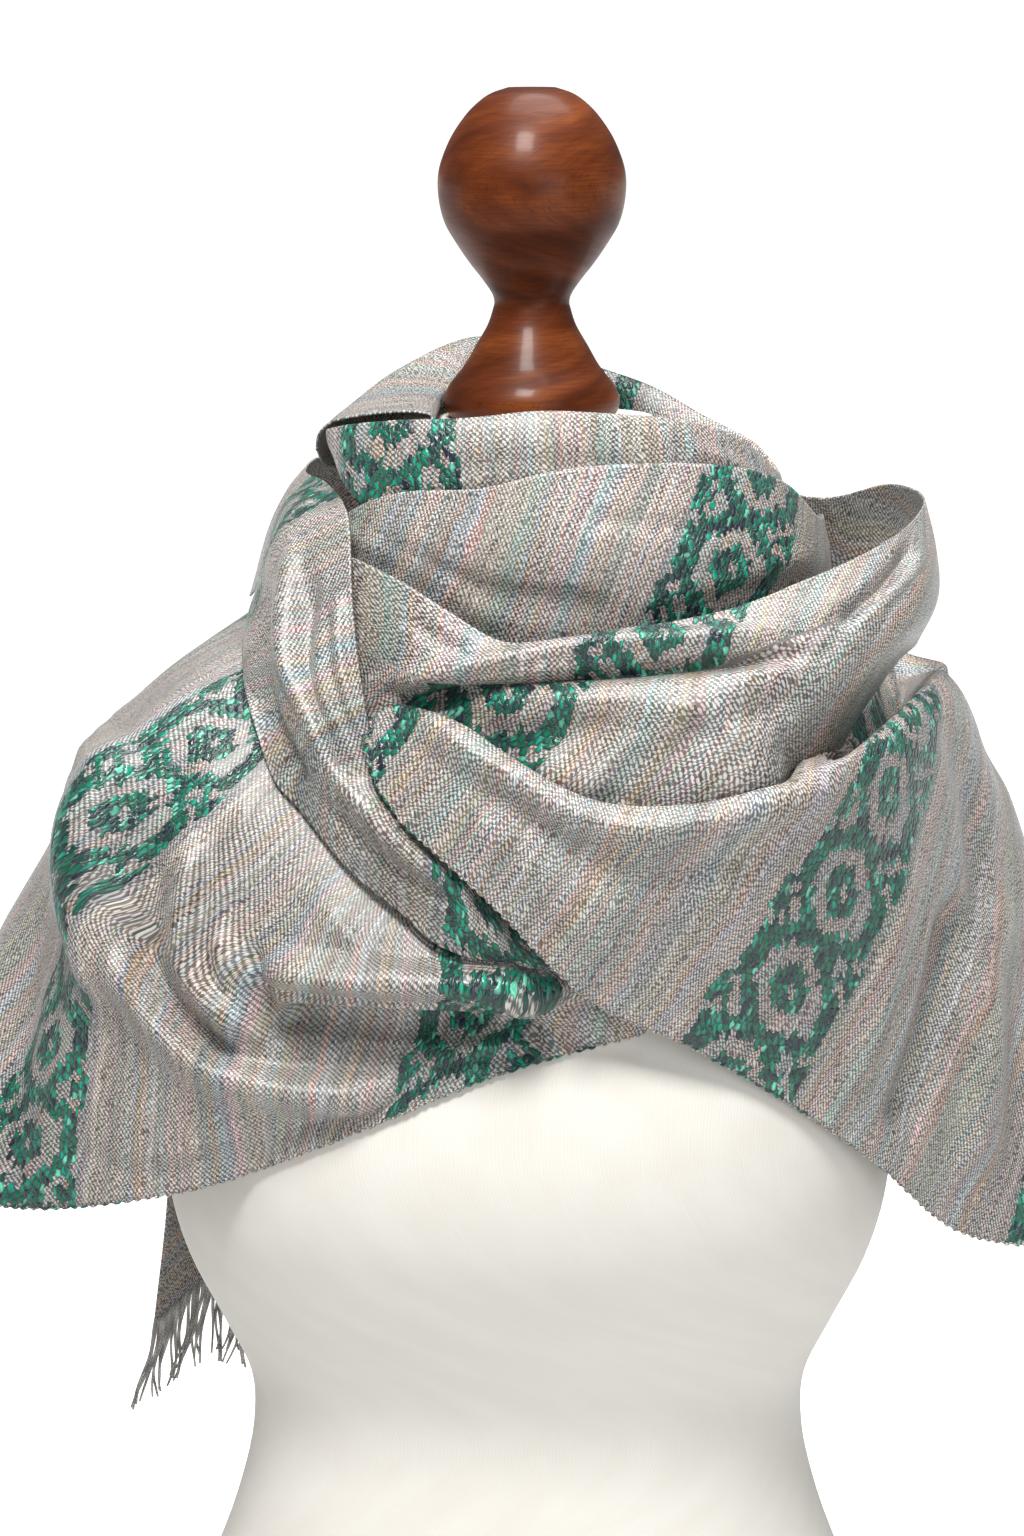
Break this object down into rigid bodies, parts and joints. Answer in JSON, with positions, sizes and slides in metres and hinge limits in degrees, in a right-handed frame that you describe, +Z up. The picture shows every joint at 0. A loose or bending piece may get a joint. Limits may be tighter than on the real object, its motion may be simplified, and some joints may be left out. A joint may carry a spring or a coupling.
{
  "type": "silk scarf on dress form",
  "caption": "Handwoven striped silk scarf with brocade bands, wound around the neck of a limbless dress form and draped over its shoulders, under a turned wooden neck finial.",
  "frame": {"origin": "centre of the dress form's flat base", "axes": "+X to the viewer's right across the shoulders, -Y towards the viewer, +Z up through the neck"},
  "size_m": [0.5374, 0.3469, 0.8338],
  "materials": {
    "ivory_jersey": "ivory knit stretched over the form",
    "turned_mahogany": "turned, satin varnish",
    "handwoven_silk": "plain weave silk, silver greige with pastel stripes and green brocade bands, lustrous",
    "silk_yarn": "loosely twisted silk fringe"
  },
  "bodies": {
    "root": {"dress_form": "ivory_jersey", "neck_finial": "turned_mahogany", "neck_inner_loop": "handwoven_silk", "neck_middle_loop": "handwoven_silk", "front_cowl": "handwoven_silk", "cowl_back": "handwoven_silk", "left_strap": "handwoven_silk", "left_drape": "handwoven_silk", "back_drape": "handwoven_silk", "front_panel": "handwoven_silk", "left_end": "handwoven_silk", "right_end": "handwoven_silk", "left_fringe": "silk_yarn", "right_fringe": "silk_yarn"}
  },
  "joints": []
}
